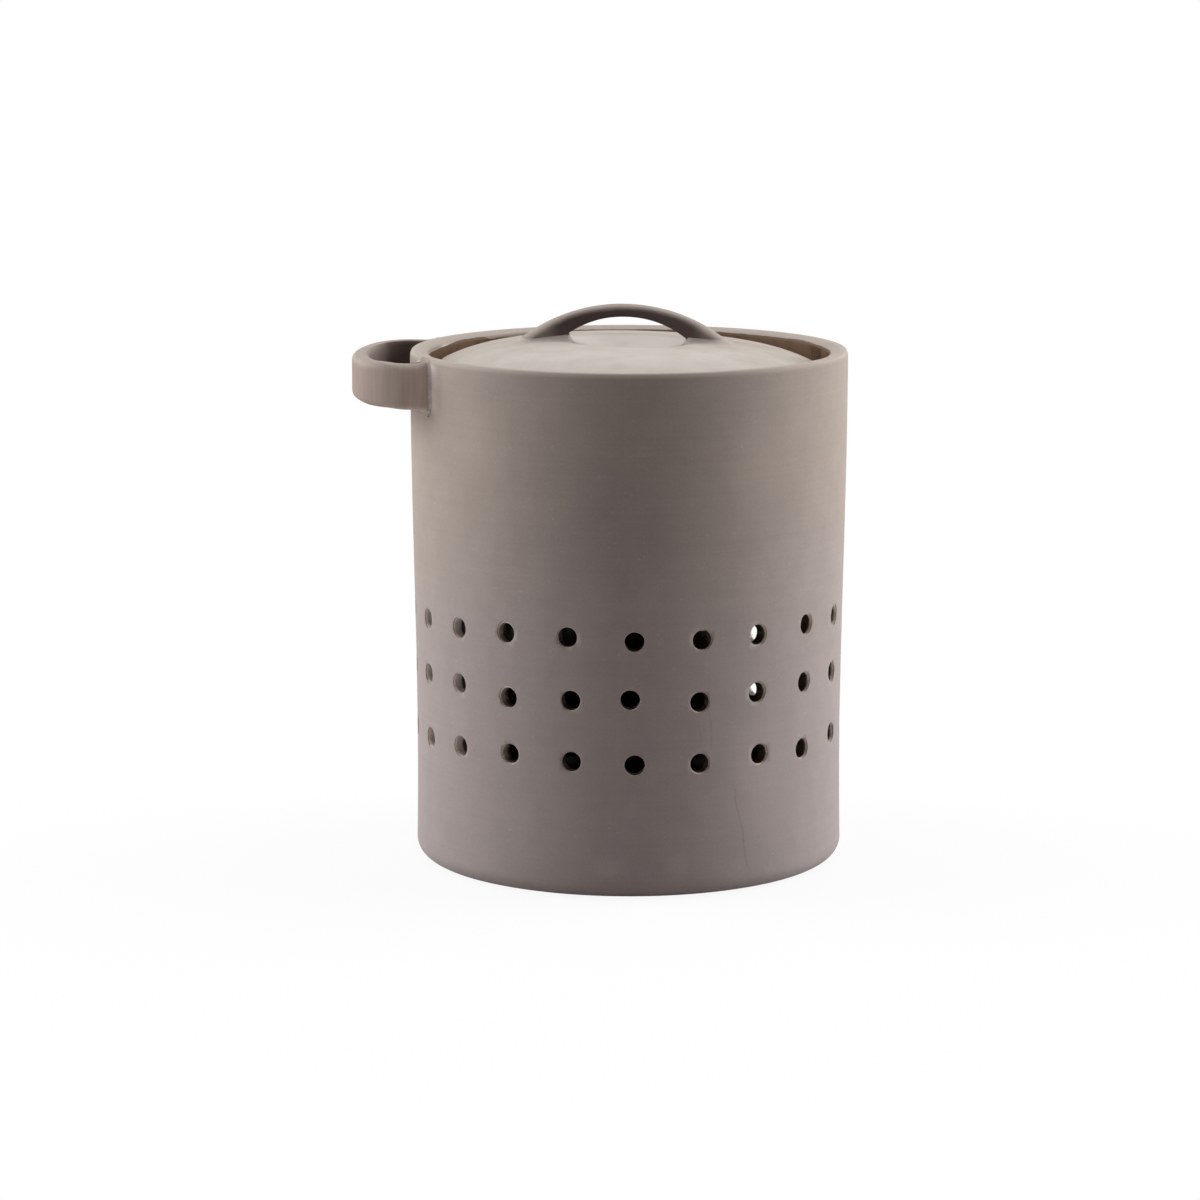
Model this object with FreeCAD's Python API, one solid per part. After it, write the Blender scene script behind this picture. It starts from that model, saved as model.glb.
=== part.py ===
import FreeCAD, Part
import math
import os

# Garlic keeper in stoneware: a round pot with three rows of hand-punched vents, a strap
# loop at the rim and a glazed inside, and a lid that lies inside the rim on a ledge, with
# a finger dish under an arched strap.
# Millimetres. +Z is up, the origin is the middle of the underside, the loop is towards -X.

V = FreeCAD.Vector
CENTRE = V(0, 0, 0)
AWAY = V(0, 1, 0)
UP = V(0, 0, 1)

# Pot: outside, nearly a cylinder, a little narrower at its waist
rim_height = 140.6
rim_radius = 60.0
shoulder_drop = 35.6
shoulder_inset = 0.2
waist_height = 30.0
waist_inset = 1.3
foot_inset = 0.9
foot_round = 4.5
rim_outer_round = 2.0
rim_inner_round = 1.0

# Pot: inside, with a gallery ledge for the lid
floor_thickness = 7.0
wall_thickness = 3.4
rim_thickness = 4.9
floor_bevel = 6.0
ledge_drop = 8.5
ledge_reach = 7.2
ledge_lip = 3.4

# Coat of glaze, and beads of slip where straps are stuck on
glaze_thickness = 0.4
glaze_stop = 1.4
slip_bead = 0.9

# Vents, punched by hand: for each one, how far it is turned on from even spacing in degrees,
# and how far it sits above the height of its row
vents_per_row = 21
vent_radius = 2.55
vent_rows = (
    {
        "height": 69.8,
        "ahead": (
            1.1, 1.7, 0.9, 2.1, 2.2, 2.6, 2.1, 3.0, 2.6, 2.2, 2.7,
            1.6, 1.9, 0.9, 1.4, 0.6, 0.2, 0.9, 0.7, 0.3, 0.8,
        ),
        "raised": (
            -0.2, -0.2, -0.2, 0.3, -0.1, 0.4, -0.3, 0.2, 0.5, -0.2, 0.1,
            -0.4, 0.3, 0.6, -0.1, 0.2, -0.3, -0.5, -0.4, 0.5, 0.7,
        ),
    },
    {
        "height": 53.7,
        "ahead": (
            0.0, 1.2, 0.9, 1.6, 1.3, 2.2, 2.9, 3.4, 3.1, 2.4, 2.6,
            2.9, 1.4, 1.8, 0.6, 1.0, 0.3, 0.5, 0.4, 0.8, 1.6,
        ),
        "raised": (
            0.3, -0.8, 0.3, 0.6, 0.5, 0.1, -0.4, 0.3, -0.5, 0.3, 0.4,
            0.2, -0.3, 0.5, -0.2, 0.3, -0.1, 0.3, 0.5, -0.9, -0.2,
        ),
    },
    {
        "height": 36.8,
        "ahead": (
            1.2, 1.3, 1.9, 1.1, 1.6, 2.0, 3.2, 3.5, 3.2, 2.6, 2.8,
            2.3, 2.4, 1.2, 1.6, 0.8, 1.1, 1.4, 0.6, 1.3, 1.7,
        ),
        "raised": (
            -0.4, -0.5, 0.3, -0.6, 0.4, -0.2, 0.3, 0.5, 0.2, 0.3, -0.5,
            0.2, 0.4, -0.1, 0.6, 0.0, -0.4, -0.4, 0.2, 0.8, 0.2,
        ),
    },
)

# Loop handle: a strap bent to a flat-fronted oval
loop_reach = 15.9
loop_half_width = 29.4
loop_corner = 11.6
loop_stand = 1.2
loop_root_turn = 60.0
loop_thickness = 4.8
loop_height = 12.8
loop_drop = 0.6
loop_outer_round = 1.8
loop_inner_round = 1.3

# Lid: flat round its finger dish, then falling in one sweep to its edge
lid_gap = 2.7
lid_edge = 3.9
lid_crown = 6.4
lid_lean = 1.0
lid_thickness = 4.5
lid_edge_round = 1.0
seat_clear = 1.0
dish_radius = 18.2
dish_depth = 4.5
dish_round = 1.0
dish_border = 1.8

# Arched strap on the lid
arch_rise = 9.7
arch_radius = 46.3
arch_thickness = 3.1
arch_opening_radius = 27.2
arch_half_opening = 16.5
arch_shift = -1.4
arch_width = 8.0
arch_outer_round = 1.3
arch_inner_round = 0.8

# Worked out from the sizes above
shoulder_height = rim_height - shoulder_drop
shoulder_radius = rim_radius - shoulder_inset
waist_radius = rim_radius - waist_inset
foot_radius = rim_radius - foot_inset
cavity_radius = waist_radius - wall_thickness
bore_radius = rim_radius - rim_thickness
ledge_radius = bore_radius - ledge_reach
ledge_height = rim_height - ledge_drop
lid_radius = bore_radius - glaze_thickness - lid_gap
well_radius = ledge_radius - glaze_thickness - seat_clear
flat_radius = dish_radius + dish_border
seat_height = ledge_height + glaze_thickness
crown_height = seat_height + lid_edge + lid_crown
arch_height = crown_height + arch_rise
dish_ball = (dish_radius ** 2 + dish_depth ** 2) / (2 * dish_depth)
same = 0.01


def rounded_face(corners):
    """Flat face in the XZ plane from (across, height, rounding) corners, rounded by arcs."""
    edges = []
    ends = []
    for i, (x, z, rounding) in enumerate(corners):
        here = V(x, 0, z)
        before = V(corners[i - 1][0], 0, corners[i - 1][1])
        after = V(corners[(i + 1) % len(corners)][0], 0, corners[(i + 1) % len(corners)][1])
        back = (before - here).normalize()
        on = (after - here).normalize()
        if rounding == 0:
            ends.append((here, here))
            continue
        half = back.getAngle(on) / 2
        run = rounding / math.tan(half)
        start = here + back * run
        stop = here + on * run
        middle = here + (back + on).normalize() * (rounding / math.sin(half) - rounding)
        edges.append(Part.Arc(start, middle, stop).toShape())
        ends.append((start, stop))
    for i in range(len(ends)):
        edges.append(Part.makeLine(ends[i - 1][1], ends[i][0]))
    return Part.Face(Part.Wire(Part.__sortEdges__(edges)))


def turned(face):
    """Solid of revolution about Z."""
    return face.revolve(CENTRE, UP, 360)


def circle_edges(solid, radius, height):
    """The edges of a solid that run round Z at this radius and height."""
    found = []
    for edge in solid.Edges:
        box = edge.BoundBox
        level = abs(box.ZMin - height) < same and abs(box.ZMax - height) < same
        if level and abs(box.XMax - radius) < same and abs(box.XMin + radius) < same:
            found.append(edge)
    return found


def arc_edges(solid, radius):
    """The edges of a solid that are arcs of this radius."""
    return [edge for edge in solid.Edges if abs(getattr(edge.Curve, "Radius", 0) - radius) < same]


def outside_corners(grow):
    """Outline of the pot from the middle of its underside to the outer edge of its rim."""
    return [
        (0, 0, 0),
        (foot_radius + grow, 0, foot_round + grow),
        (waist_radius + grow, waist_height, 0),
        (shoulder_radius + grow, shoulder_height, 0),
        (rim_radius + grow, rim_height, rim_outer_round + grow),
    ]


def inside_corners(inset):
    """Outline of the hollow from its bore, over the ledge, to the middle of its floor."""
    wall = cavity_radius - inset
    lip = ledge_radius - inset
    floor = floor_thickness + inset
    bevel = floor_bevel - inset * (2 - math.sqrt(2))
    lip_bottom = ledge_height - ledge_lip - inset * (math.sqrt(2) - 1)
    return [
        (bore_radius - inset, ledge_height + inset, 0),
        (lip, ledge_height + inset, 0),
        (lip, lip_bottom, 0),
        (wall, lip_bottom - (wall - lip), 0),
        (wall, floor + bevel, 0),
        (wall - bevel, floor, 0),
        (0, floor, 0),
    ]


def pot_block(grow):
    """The pot as if it were full, made larger by grow."""
    return turned(rounded_face(outside_corners(grow) + [(0, rim_height, 0)]))


def hollow_block(inset):
    """The room inside the pot up to where the glaze ends, made smaller by inset."""
    top = rim_height - glaze_stop
    return turned(rounded_face([(0, top, 0), (bore_radius - inset, top, 0)] + inside_corners(inset)))


def vents():
    """One punch for every vent."""
    punches = []
    for row in vent_rows:
        for k, (ahead, raised) in enumerate(zip(row["ahead"], row["raised"])):
            turn = math.radians(360.0 * k / vents_per_row + ahead)
            direction = V(math.sin(turn), -math.cos(turn), 0)
            start = direction * (cavity_radius - wall_thickness) + UP * (row["height"] + raised)
            punches.append(Part.makeCylinder(vent_radius, 3 * wall_thickness, start, direction))
    return Part.makeCompound(punches)


def pot_body(punches):
    """The clay of the pot."""
    rim_inside = [(bore_radius, rim_height, rim_inner_round)]
    return turned(rounded_face(outside_corners(0) + rim_inside + inside_corners(0))).cut(punches)


def pot_glaze(punches):
    """The coat of glaze that lines the inside and ends a little below the rim."""
    return hollow_block(0).cut(hollow_block(glaze_thickness)).cut(punches)


def loop_path():
    """Middle line of the loop in plan: a tight arc out of the wall, a long arc, a tight arc back."""
    tight = loop_corner - loop_thickness / 2
    hub_y = loop_half_width - loop_corner
    reach = loop_reach - loop_stand - loop_corner
    back = (hub_y ** 2 - reach ** 2) / (2 * reach)
    wide = reach + back + tight
    meet = math.atan2(hub_y, back)
    root = math.radians(90 + loop_root_turn)

    def on_arc(centre_x, centre_y, radius, angle):
        return V(centre_x - radius * math.cos(angle), centre_y + radius * math.sin(angle), 0)

    near = [on_arc(0, hub_y, tight, angle) for angle in (root, (root + meet) / 2, meet)]
    far = [V(p.x, -p.y, 0) for p in near]
    tip = on_arc(back, 0, wide, 0)
    edges = [
        Part.Arc(near[0], near[1], near[2]).toShape(),
        Part.Arc(near[2], tip, far[2]).toShape(),
        Part.Arc(far[2], far[1], far[0]).toShape(),
    ]
    path = Part.Wire(edges)
    path.translate(V(-rim_radius - loop_stand, 0, 0))
    return path


def loop_strap(grow):
    """The loop, made larger by grow, with both ends still running on into the pot."""
    path = loop_path()
    side = loop_thickness / 2 + grow
    top = rim_height - loop_drop + grow
    bottom = rim_height - loop_drop - loop_height - grow
    section = rounded_face([
        (-side, bottom, loop_inner_round + grow),
        (side, bottom, loop_outer_round + grow),
        (side, top, loop_outer_round + grow),
        (-side, top, loop_inner_round + grow),
    ])
    section.rotate(CENTRE, UP, 90 - loop_root_turn)
    section.translate(path.Vertexes[0].Point)
    return path.makePipe(section)


def loop_slip(outside, handle):
    """The slip worked into the corner between the loop and the wall, a bead at each root."""
    beads = loop_strap(slip_bead).common(pot_block(slip_bead)).cut(outside).cut(handle)
    return beads.common(Part.makeCylinder(2 * rim_radius, rim_height - loop_drop))


def lid_profile():
    """Half outline of the lid as if it were solid: flat, one long sweep, rounded edge, side."""
    run = lid_radius - flat_radius
    sweep = (run ** 2 + lid_crown ** 2) / (2 * lid_crown)
    hub = V(flat_radius, 0, crown_height - sweep)
    across = run - lid_edge_round
    edge_angle = math.asin(across / (sweep - lid_edge_round))
    edge_hub = hub + V(across, 0, (sweep - lid_edge_round) * math.cos(edge_angle))

    def on_sweep(angle):
        return hub + V(math.sin(angle), 0, math.cos(angle)) * sweep

    def on_edge(angle):
        return edge_hub + V(math.sin(angle), 0, math.cos(angle)) * lid_edge_round

    level = math.pi / 2
    start = on_sweep(0)
    side = on_edge(level)
    low = seat_height - lid_edge
    edges = [
        Part.makeLine(V(0, 0, crown_height), start),
        Part.Arc(start, on_sweep(edge_angle / 2), on_sweep(edge_angle)).toShape(),
        Part.Arc(on_edge(edge_angle), on_edge((edge_angle + level) / 2), side).toShape(),
        Part.makeLine(side, V(side.x, 0, low)),
        Part.makeLine(V(side.x, 0, low), V(0, 0, low)),
        Part.makeLine(V(0, 0, low), V(0, 0, crown_height)),
    ]
    return Part.Face(Part.Wire(edges))


def lid_block():
    """The lid as if it were solid below, with its dish, leaned, and cut level at its seat."""
    ball = Part.makeSphere(dish_ball, V(0, 0, crown_height - dish_depth + dish_ball))
    block = turned(lid_profile()).cut(ball)
    block = block.makeFillet(dish_round, circle_edges(block, dish_radius, crown_height))
    block.rotate(V(0, 0, seat_height), AWAY, lid_lean)
    return block.common(Part.makeCylinder(bore_radius, arch_height, V(0, 0, seat_height)))


def under_lid(inset):
    """The hollow under the lid, inside its seat ring, made smaller by inset."""
    ceiling = crown_height - lid_thickness
    fall = lid_crown * (well_radius - flat_radius) / (lid_radius - flat_radius)
    well = well_radius - inset
    block = turned(rounded_face([
        (0, seat_height, 0),
        (well, seat_height, 0),
        (well, ceiling - fall - inset, 0),
        (flat_radius, ceiling - inset, 0),
        (0, ceiling - inset, 0),
    ]))
    ball = dish_ball + lid_thickness + inset
    return block.cut(Part.makeSphere(ball, V(0, 0, crown_height - dish_depth + dish_ball)))


def arch_block(grow):
    """The arch as a thick disc on edge with its opening, running on down into the lid."""
    side = arch_width / 2 + grow
    disc_middle = V(arch_shift, -side, arch_height - arch_radius)
    disc = Part.makeCylinder(arch_radius + grow, 2 * side, disc_middle, AWAY)
    lower = Part.makeCylinder(2 * arch_radius, crown_height - lid_thickness / 2)
    hole_radius = arch_opening_radius - grow
    hole_middle = V(arch_shift, -side, arch_height - arch_thickness - arch_opening_radius)
    hole = Part.makeCylinder(hole_radius, 2 * side, hole_middle, AWAY)
    half = arch_half_opening - grow
    between = Part.makeBox(2 * half, 2 * side, arch_height, V(-half, -side, 0))
    block = disc.cut(lower).cut(hole.common(between))
    block = block.makeFillet(arch_outer_round, arc_edges(block, arch_radius + grow))
    block = block.makeFillet(arch_inner_round, arc_edges(block, hole_radius))
    block.rotate(V(0, 0, seat_height), AWAY, lid_lean)
    return block


def arch_slip(arch, plate):
    """The slip worked round the two feet of the arch."""
    skin = lid_block()
    skin.translate(UP * slip_bead)
    return arch_block(slip_bead).common(skin).cut(plate).cut(arch)


def save(name, shape):
    """Write one node, and say what it is."""
    shape.exportStep("parts/" + name + ".step")
    print(name, "solids", len(shape.Solids), "valid", shape.isValid(), "volume", round(shape.Volume, 1))


os.makedirs("parts", exist_ok=True)
punches = vents()
save("pot_body", pot_body(punches))
save("pot_glaze", pot_glaze(punches))
outside = pot_block(0)
handle = loop_strap(0).cut(outside)
save("pot_handle", handle)
save("pot_handle_slip", loop_slip(outside, handle))
plate = lid_block().cut(under_lid(0))
arch = arch_block(0).cut(plate)
save("lid_plate", plate)
save("lid_glaze", under_lid(0).cut(under_lid(glaze_thickness)))
save("lid_handle", arch)
save("lid_handle_slip", arch_slip(arch, plate))
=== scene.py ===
# %% [markdown]
# # A garlic keeper in stoneware
# A round pot of unglazed clay with three rows of hand-punched vents, so that the bulbs
# inside stay dry, a strap loop at its rim, a glazed inside, and a lid that drops into the
# rim under an arched strap. The CAD model is loaded first as a fixed frame: it gives every
# size and it owns the motion. Each visible piece is then made again with the softness that
# fired clay has, in the same place, and rides on the CAD body that it belongs to.

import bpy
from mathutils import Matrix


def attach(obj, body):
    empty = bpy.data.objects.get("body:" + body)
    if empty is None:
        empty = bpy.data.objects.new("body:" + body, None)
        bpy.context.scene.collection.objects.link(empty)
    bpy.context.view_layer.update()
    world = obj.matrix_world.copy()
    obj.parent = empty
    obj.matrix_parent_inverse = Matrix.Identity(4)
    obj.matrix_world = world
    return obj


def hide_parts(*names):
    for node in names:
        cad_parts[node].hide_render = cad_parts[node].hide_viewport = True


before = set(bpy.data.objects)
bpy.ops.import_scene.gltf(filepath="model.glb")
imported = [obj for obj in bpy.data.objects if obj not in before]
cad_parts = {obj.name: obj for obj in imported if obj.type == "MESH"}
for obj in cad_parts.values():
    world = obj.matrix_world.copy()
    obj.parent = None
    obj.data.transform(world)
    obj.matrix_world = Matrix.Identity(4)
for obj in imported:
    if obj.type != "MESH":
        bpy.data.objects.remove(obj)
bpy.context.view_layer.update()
print("CAD nodes:", ", ".join(sorted(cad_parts)))

# %% Names used everywhere
import math

import bmesh
import bpy
from mathutils import Matrix, Vector, noise

MM = 0.001
UP = Vector((0, 0, 1))
NONE = {}
print("one millimetre is", MM, "m")

# %% [markdown]
# ## Node trees written as expressions
# A material or a Geometry Nodes tool is easier to read as arithmetic than as a web of
# links. A Wire stands for one output socket, and sums done on it add Math nodes. Any other
# node comes from one method, which sets its settings before its sockets, because a setting
# can change which sockets there are.

# %% Wires
class Wire:
    """One output socket, on which Python arithmetic adds Math nodes."""

    def __init__(self, graph, socket):
        self.graph = graph
        self.socket = socket

    def beside(self, name):
        """Another output of the same node."""
        return Wire(self.graph, self.socket.node.outputs[name])

    def __add__(self, other):
        return self.graph.math("ADD", self, other)

    def __radd__(self, other):
        return self.graph.math("ADD", other, self)

    def __sub__(self, other):
        return self.graph.math("SUBTRACT", self, other)

    def __rsub__(self, other):
        return self.graph.math("SUBTRACT", other, self)

    def __mul__(self, other):
        return self.graph.math("MULTIPLY", self, other)

    def __rmul__(self, other):
        return self.graph.math("MULTIPLY", other, self)

    def __truediv__(self, other):
        return self.graph.math("DIVIDE", self, other)


print("wires ready")

# %% Graphs
class Graph:
    """A node tree that is built by calls and expressions."""

    def __init__(self, tree):
        self.tree = tree

    def node(self, kind, settings=NONE, sockets=NONE, out=0):
        """A node of any type; gives the wire of one of its outputs."""
        made = self.tree.nodes.new(kind)
        for name, value in settings.items():
            setattr(made, name, value)
        for name, value in sockets.items():
            if isinstance(value, Wire):
                self.tree.links.new(value.socket, made.inputs[name])
            else:
                made.inputs[name].default_value = value
        return Wire(self, made.outputs[out]) if made.outputs else made

    def math(self, operation, *values):
        return self.node("ShaderNodeMath", {"operation": operation}, dict(enumerate(values)))

    def vector(self, operation, *values, out="Vector"):
        return self.node("ShaderNodeVectorMath", {"operation": operation}, dict(enumerate(values)), out)

    def blend(self, start, stop, share):
        """From one colour to another by a share from 0 to 1."""
        sockets = {"Factor": share, 6: start, 7: stop}
        return self.node("ShaderNodeMix", {"data_type": "RGBA"}, sockets, 2)

    def scaled(self, vector, by):
        """A vector or a colour made larger or brighter."""
        return self.node("ShaderNodeVectorMath", {"operation": "SCALE"}, {"Vector": vector, "Scale": by})

    def rise(self, value, low, high):
        """0 below low, 1 above high, and smooth between them."""
        sockets = {"Value": value, "From Min": low, "From Max": high}
        return self.node("ShaderNodeMapRange", {"interpolation_type": "SMOOTHSTEP"}, sockets)

    def fall(self, value, low, high):
        """1 below low, 0 above high, and smooth between them."""
        return 1 - self.rise(value, low, high)

    def band(self, value, start, full, fade, stop):
        """1 from full to fade, 0 outside start and stop, and smooth between them."""
        return self.rise(value, start, full) * self.fall(value, fade, stop)

    def length(self, vector):
        """The length of a vector."""
        return self.vector("LENGTH", vector, out="Value")

    def stored(self, name):
        """A number that is stored on the mesh's points."""
        return self.node("ShaderNodeAttribute", {"attribute_name": name}, NONE, "Fac")

    def split(self, vector):
        """The three coordinates of a vector."""
        x = self.node("ShaderNodeSeparateXYZ", NONE, {0: vector}, "X")
        return x, x.beside("Y"), x.beside("Z")

    def point(self, x, y, z):
        """A vector from three coordinates."""
        return self.node("ShaderNodeCombineXYZ", NONE, {"X": x, "Y": y, "Z": z})

    def noise(self, vector, scale, detail=2.0, roughness=0.5):
        """Cloudy noise from 0 to 1, about 0.5."""
        sockets = {"Vector": vector, "Scale": scale, "Detail": detail, "Roughness": roughness}
        return self.node("ShaderNodeTexNoise", NONE, sockets)


print("graph helpers ready")

# %% [markdown]
# ## Camera
# A long lens a good metre away, a little above the rim and tipped down ten degrees, so
# that the lid's top and the rim show as thin ellipses.

# %% Camera
camera_data = bpy.data.cameras.new("camera")
camera_data.lens = 121.05
camera_data.sensor_width = 36.0
camera = bpy.data.objects.new("camera", camera_data)
camera.location = (-0.0079446, -1.1, 0.265309)
camera.rotation_euler = (math.radians(90 - 10.044), 0, 0)
bpy.context.scene.collection.objects.link(camera)
bpy.context.scene.camera = camera
bpy.context.scene.view_settings.view_transform = "Standard"
print("camera at", tuple(camera.location))

# %% [markdown]
# ## Light
# The clay is lit by two wide soft lamps at its sides, set a little behind it, and one
# above. Its sides glow and its front falls off into shade, which is what shows that it is
# round. The lamps are large, so the shadow on the floor is soft.

# %% Soft lamps
def soft_lamp(name, turn, away, height, size, power):
    """A square lamp that faces the middle of the pot, turned round it from the front."""
    lamp = bpy.data.lights.new(name, "AREA")
    lamp.size = size
    lamp.energy = power
    made = bpy.data.objects.new(name, lamp)
    angle = math.radians(turn)
    made.location = (away * math.sin(angle), -away * math.cos(angle), height)
    aim = Vector((0, 0, 0.08)) - made.location
    made.rotation_euler = aim.to_track_quat("-Z", "Y").to_euler()
    made.visible_camera = False
    bpy.context.scene.collection.objects.link(made)


soft_lamp("lamp right", 101, 0.9, 0.42, 0.8, 12.7)
soft_lamp("lamp left", -97, 0.9, 0.42, 0.8, 11.4)
soft_lamp("lamp top", 180, 0.15, 1.2, 1.0, 6.6)

# %% [markdown]
# ## Floor and surroundings
# The surroundings are white to the eye and in reflections. For the light that bounces
# about they are grey, so that the clay is lit by the lamps alone. The floor is white in
# the same way, but close to the pot part of it is a real lit surface, which keeps the
# pot's soft shadow.

# %% Rays that see white
def seen_white(g):
    """1 for rays that come from the eye, from gloss or through glass."""
    path = g.node("ShaderNodeLightPath", NONE, NONE, "Is Camera Ray")
    seen = g.math("MAXIMUM", path, path.beside("Is Glossy Ray"))
    return g.math("MAXIMUM", seen, path.beside("Is Transmission Ray"))


WHITE = (1, 1, 1, 1)
DIM = (0.034, 0.020, 0.022, 1)

world = bpy.data.worlds.new("white room")
world.use_nodes = True
world.node_tree.nodes.clear()
room = Graph(world.node_tree)
room_colour = room.blend(DIM, WHITE, seen_white(room))
room_light = room.node("ShaderNodeBackground", NONE, {"Color": room_colour})
room.node("ShaderNodeOutputWorld", NONE, {"Surface": room_light})
bpy.context.scene.world = world
print("world:", world.name)

# %% Floor
FLOOR_HALF = 3.0
FLOOR_Z = -0.0001
floor_mesh = bpy.data.meshes.new("floor")
floor_corners = [(x * FLOOR_HALF, y * FLOOR_HALF, FLOOR_Z) for x, y in ((-1, -1), (1, -1), (1, 1), (-1, 1))]
floor_mesh.from_pydata(floor_corners, [], [(0, 1, 2, 3)])
floor = bpy.data.objects.new("floor", floor_mesh)
bpy.context.scene.collection.objects.link(floor)

floor_finish = bpy.data.materials.new("white floor")
floor_finish.use_nodes = True
floor_finish.node_tree.nodes.clear()
g = Graph(floor_finish.node_tree)
spot = g.node("ShaderNodeTexCoord", NONE, NONE, "Object")
lit_share = 0.09 * g.fall(g.length(spot), 0.08, 0.3)
plain = g.node("ShaderNodeEmission", NONE, {"Color": WHITE, "Strength": 1.0})
lit = g.node("ShaderNodeBsdfDiffuse", NONE, {"Color": (0.8, 0.8, 0.8, 1)})
shown = g.node("ShaderNodeMixShader", NONE, {0: lit_share, 1: plain, 2: lit})
grey = g.node("ShaderNodeBsdfDiffuse", NONE, {"Color": (0.52, 0.49, 0.49, 1)})
chosen = g.node("ShaderNodeMixShader", NONE, {0: seen_white(g), 1: grey, 2: shown})
g.node("ShaderNodeOutputMaterial", NONE, {"Surface": chosen})
floor_mesh.materials.append(floor_finish)
print("floor:", 2 * FLOOR_HALF, "m square")

# %% [markdown]
# ## Materials
# Bare stoneware is matt and slightly sandy. Its colour drifts from a warm grey-brown at
# the top to a cooler, more purple grey lower down, as the kiln's flame leaves it, and it
# has pale grains, faint turning lines and small smudges. Most of that is noise read from
# Object coordinates at different scales, with the finest layers also raised as bump. A few
# clouds and hairlines are placed one by one.

# %% Colours
def paint(red, green, blue):
    """A colour as it is written in a paint program, made linear."""
    return tuple(((c / 255 + 0.055) / 1.055) ** 2.4 for c in (red, green, blue)) + (1,)


WARM_CLAY = paint(153, 142, 133)
COOL_CLAY = paint(152, 142, 139)
PALE_CLAY = paint(186, 176, 166)
# Painted shade for the right part of the arch.
ARCH_SHADE_RIGHT = paint(84, 70, 67)
ROSY_CLAY = paint(130, 112, 105)
# Pale slip; in the left-hand vents it serves as painted light.
PALE_SLIP_AND_PAINTED_LIGHT = paint(205, 199, 192)
# White slip; beside the loop's roots it also serves as painted light.
WHITE_SLIP_AND_PAINTED_LIGHT = paint(226, 220, 213)
# Pale lip of the vents, partly painted light.
LIP_SLIP_AND_PAINTED_LIGHT = paint(230, 214, 194)
# Pale bloom of the lid, also used as painted light at its front and in its dish.
LID_BLOOM_AND_PAINTED_LIGHT = paint(191, 184, 176)
# Painted shade for the left part of the arch.
ARCH_SHADE = paint(70, 55, 54)
# Dark brown of the painted shade on the loop's inner face; the dark corner spot uses it too.
LOOP_SHADE = paint(50, 34, 26)
# Slip towards the loop's roots, partly painted light.
LOOP_SLIP_AND_PAINTED_LIGHT = paint(206, 190, 178)
GLAZE_BROWN = paint(104, 84, 68)
GLAZE_DEEP = paint(72, 56, 45)
# Painted shade inside the vents.
BORE_SHADE = paint(58, 49, 42)
print("warm clay, linear:", [round(c, 3) for c in WARM_CLAY[:3]])

# %% Clouds, one painted shade, and hairlines on the front
# Each cloud: middle x and z, reach in x and z, lighter by, cooler by.
CLOUDS_AND_PAINTED_SHADE = (
    # The first cloud is painted shade: it darkens the middle of the front, which turns away from the lamps,
    # and cools its tone.
    (-4.8, 97.8, 26, 30, -0.07, 0.9),
    (-41, 120, 14, 16, 0.08, 0.0),
    (33, 116, 12, 18, 0.10, 0.0),
    (34, 33, 12, 26, 0.09, 0.0),
    (-5.3, 8.5, 7, 4, 0.12, 0.0),
    (12.3, 9.1, 5, 5, 0.10, 0.0),
)
# Each hairline: x and z of its lower end, x and z of its upper end, half its width, lighter by.
HAIRLINES = (
    (18.5, 41.9, 18.5, 52.1, 0.30, -0.06),
    (21.8, 40.5, 21.2, 52.5, 0.35, -0.09),
    (31.4, 7.1, 28.0, 29.0, 0.30, -0.14),
)


def cloud(g, x, z, mottle, mid_x, mid_z, reach_x, reach_z):
    """1 in the middle of a cloud and 0 outside it, with an uneven edge."""
    off = g.length(g.point((x - mid_x) * (1 / reach_x), (z - mid_z) * (1 / reach_z), 0.0))
    return g.fall(off + 0.5 * (mottle - 0.5), 0.15, 1.0)


def hairline(g, x, z, mottle, low_x, low_z, top_x, top_z, half):
    """1 on a hairline that wavers a little and 0 beside it."""
    aside = x - low_x - (z - low_z) * ((top_x - low_x) / (top_z - low_z)) + 3 * (mottle - 0.5)
    along = g.band(z, low_z - 2, low_z + 1, top_z - 1, top_z + 2)
    return along * g.fall(g.math("ABSOLUTE", aside), 0.4 * half, half)


print("clouds:", len(CLOUDS_AND_PAINTED_SHADE), "hairlines:", len(HAIRLINES))

# %% Stoneware
def new_material(name):
    """An empty material with its graph and its place in millimetres."""
    made = bpy.data.materials.new(name)
    made.use_nodes = True
    made.node_tree.nodes.clear()
    g = Graph(made.node_tree)
    spot = g.node("ShaderNodeTexCoord", NONE, NONE, "Object")
    return made, g, g.scaled(spot, 1 / MM)


def clay_colour(g, place):
    """Colour of bare stoneware: a slow drift, mottling, turning lines, clouds and one painted shade,
    hairlines, grains.
    """
    x, y, z = g.split(place)
    drift = g.noise(place, 0.016, 1.0)
    mottle = g.noise(place, 0.13, 3.0, 0.6)
    lines = g.noise(g.point(0.015 * x, 0.015 * y, z), 0.9, 3.0, 0.65)
    grain = g.noise(place, 2.1, 2.0, 0.6)
    shade = 1 + 0.16 * (mottle - 0.5) + 0.10 * (lines - 0.5) + 0.22 * (grain - 0.5)
    warmth = g.rise(z + 46 * (drift - 0.5), 52, 112)
    front = g.fall(y, -42, -30)
    for *placed, lighter, cooler in CLOUDS_AND_PAINTED_SHADE:
        cloud_and_shade_share = front * cloud(g, x, z, mottle, *placed)
        shade = shade + lighter * cloud_and_shade_share
        warmth = warmth * (1 - cooler * cloud_and_shade_share)
    for *placed, lighter in HAIRLINES:
        shade = shade + lighter * front * hairline(g, x, z, mottle, *placed)
    colour = g.scaled(g.blend(COOL_CLAY, WARM_CLAY, warmth), shade)
    speck = g.rise(g.noise(place, 1.15, 1.0), 0.70, 0.78)
    return g.blend(colour, PALE_CLAY, 0.30 * speck)


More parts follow.
